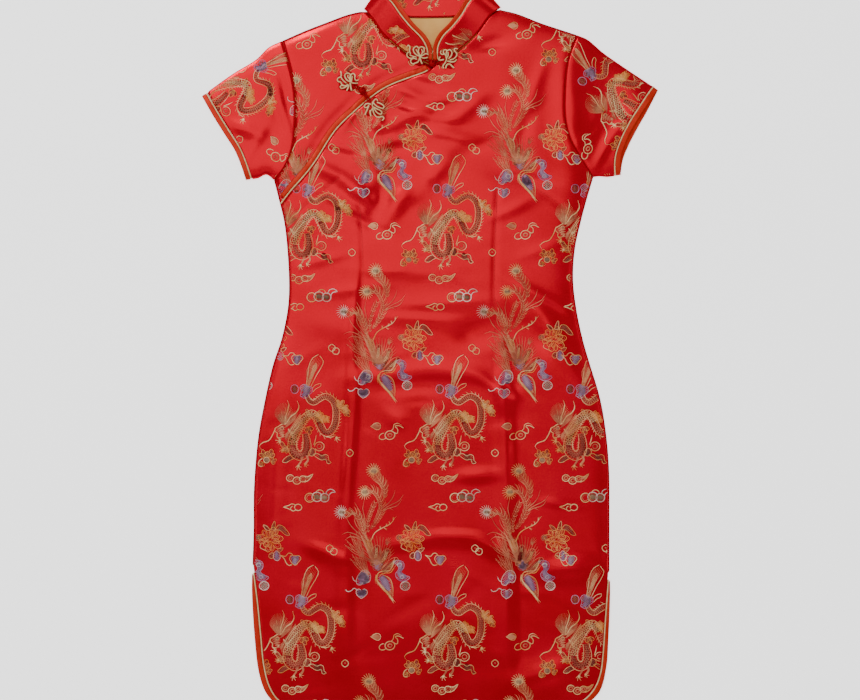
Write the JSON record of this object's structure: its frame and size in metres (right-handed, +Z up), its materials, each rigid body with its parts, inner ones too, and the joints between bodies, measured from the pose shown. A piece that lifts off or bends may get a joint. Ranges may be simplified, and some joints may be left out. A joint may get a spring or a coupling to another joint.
{
  "type": "cheongsam dress laid flat",
  "caption": "Short-sleeved satin brocade cheongsam laid flat, front up, with a stand-up collar, slanting edge, frog fastenings, piped bindings and side slits.",
  "frame": {"origin": "middle of the dress in plan, at the level of the surface it lies on", "axes": "+Z up from the surface, +Y towards the collar, +X towards the right sleeve as seen from the front"},
  "size_m": [0.5701, 0.9026, 0.0177],
  "materials": {
    "red_satin": "red satin brocade",
    "orange_bias": "orange-red satin bias binding",
    "gold_piping": "pale gold corded piping",
    "ochre_lining": "ochre satin lining"
  },
  "bodies": {
    "root": {"front_panel": "red_satin", "front_shoulder": "red_satin", "back_panel": "red_satin", "sleeve_left": "red_satin", "sleeve_right": "red_satin", "collar": "red_satin", "frog_collar_left": "red_satin", "frog_collar_right": "red_satin", "frog_chest_upper": "red_satin", "frog_chest_lower": "red_satin", "frog_collar_knot": "red_satin", "frog_chest_knot": "red_satin", "collar_binding": "orange_bias", "placket_binding": "orange_bias", "cuff_binding_left": "orange_bias", "cuff_binding_right": "orange_bias", "hem_binding_front": "orange_bias", "hem_binding_back": "orange_bias", "collar_piping": "gold_piping", "placket_piping": "gold_piping", "cuff_piping_left": "gold_piping", "cuff_piping_right": "gold_piping", "hem_piping_front": "gold_piping", "hem_piping_back": "gold_piping", "neck_lining": "ochre_lining"}
  },
  "joints": []
}
